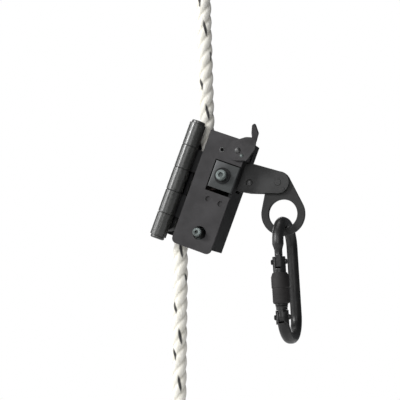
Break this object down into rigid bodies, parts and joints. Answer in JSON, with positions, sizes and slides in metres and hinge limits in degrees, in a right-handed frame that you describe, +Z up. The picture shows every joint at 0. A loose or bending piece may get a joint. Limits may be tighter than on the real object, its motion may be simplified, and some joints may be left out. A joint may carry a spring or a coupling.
{
  "type": "rope grab ascender",
  "caption": "Openable rope grab on a twisted anchor rope: hinged barrel body, toothed cam with lever, eye plate and screw-gate carabiner.",
  "frame": {"origin": "centre of the round thimble eye at the rope's top end", "axes": "+Z up along the hanging rope, +X towards the lever and carabiner, +Y from the front cover to the back plate, along the thimble's bore"},
  "size_m": [0.1442, 0.0647, 0.5332],
  "materials": {
    "painted_shell": "satin powder coat",
    "painted_cover": "matt powder coat",
    "painted_arm": "matt powder coat",
    "painted_carabiner": "gloss black coat",
    "sleeve_finish": "matt black oxide",
    "zinc": "zinc plated",
    "steel": "plain",
    "galvanised": "galvanised",
    "rope_fibre": "twisted polyamide",
    "cap_plastic": "heat-shrunk"
  },
  "bodies": {
    "shell": {"body_shell": "painted_shell", "hinge_pin": "painted_shell", "hinge_washers": "painted_shell", "rope_shoe": "painted_shell", "shoe_rivets": "painted_shell", "cam_bolt": "zinc", "cam_washers": "painted_shell", "cam_bush": "zinc", "cam_spring": "steel", "cam_nut": "zinc", "guide_bolt": "zinc", "guide_spacer": "painted_shell", "guide_washers": "zinc", "guide_nut": "zinc", "anchor_thimble": "galvanised", "splice_sleeve": "cap_plastic", "rope": "rope_fibre", "rope_end_cap": "cap_plastic"},
    "cover": {"front_cover": "painted_cover", "latch_rivet": "painted_cover", "latch_spring": "steel"},
    "latch": {"latch_lever": "painted_cover", "latch_stud": "painted_cover"},
    "lever": {"toothed_cam": "steel", "arm_front_plate": "painted_arm", "arm_back_plate": "painted_arm", "arm_rivet": "painted_arm", "eye_rivet": "painted_arm", "stop_pin": "painted_arm"},
    "eye": {"eye_plate": "painted_arm"},
    "carabiner": {"carabiner_body": "painted_carabiner", "gate_hinge_pin": "painted_carabiner"},
    "gate": {"gate": "painted_carabiner", "gate_catch_pin": "painted_carabiner", "gate_spring": "steel"},
    "sleeve": {"lock_sleeve": "sleeve_finish"},
    "roller": {"guide_roller": "steel"}
  },
  "joints": [
    {"name": "cover_swing", "type": "hinge", "parent": "shell", "child": "cover", "pos_m": [-0.02086, -0.016, -0.26152], "axis": [-0.3511, 0, -0.9363], "range_deg": [0, 150]},
    {"name": "latch_turn", "type": "hinge", "parent": "cover", "child": "latch", "pos_m": [0.03821, -0.0221, -0.237], "axis": [0, -1, 0], "range_deg": [0, 25], "stiffness_Nm_per_rad": 0.05, "springref_deg": -17.19},
    {"name": "lever_swing", "type": "hinge", "parent": "shell", "child": "lever", "pos_m": [0.0235, 0, -0.26], "axis": [0, -1, 0], "range_deg": [0, 25], "stiffness_Nm_per_rad": 0.2, "springref_deg": -28.65},
    {"name": "eye_swing", "type": "hinge", "parent": "lever", "child": "eye", "pos_m": [0.07231, 0, -0.2657], "axis": [0, -1, 0], "range_deg": [-25, 35]},
    {"name": "carabiner_swing", "type": "hinge", "parent": "eye", "child": "carabiner", "pos_m": [0.07651, 0, -0.3028], "axis": [-0.0698, -0.9976, 0], "range_deg": [-20, 60]},
    {"name": "gate_swing", "type": "hinge", "parent": "carabiner", "child": "gate", "pos_m": [0.07968, -0.02508, -0.39066], "axis": [-0.996, 0.0696, -0.0558], "range_deg": [0, 28], "stiffness_Nm_per_rad": 0.05, "springref_deg": -22.92},
    {"name": "sleeve_slide", "type": "slide", "parent": "gate", "child": "sleeve", "axis": [-0.0557, 0.0039, 0.9984], "range_m": [0, 0.0045]},
    {"name": "roller_spin", "type": "hinge", "parent": "shell", "child": "roller", "pos_m": [0.00012, 0, -0.31211], "axis": [0, 1, 0], "continuous": true}
  ]
}
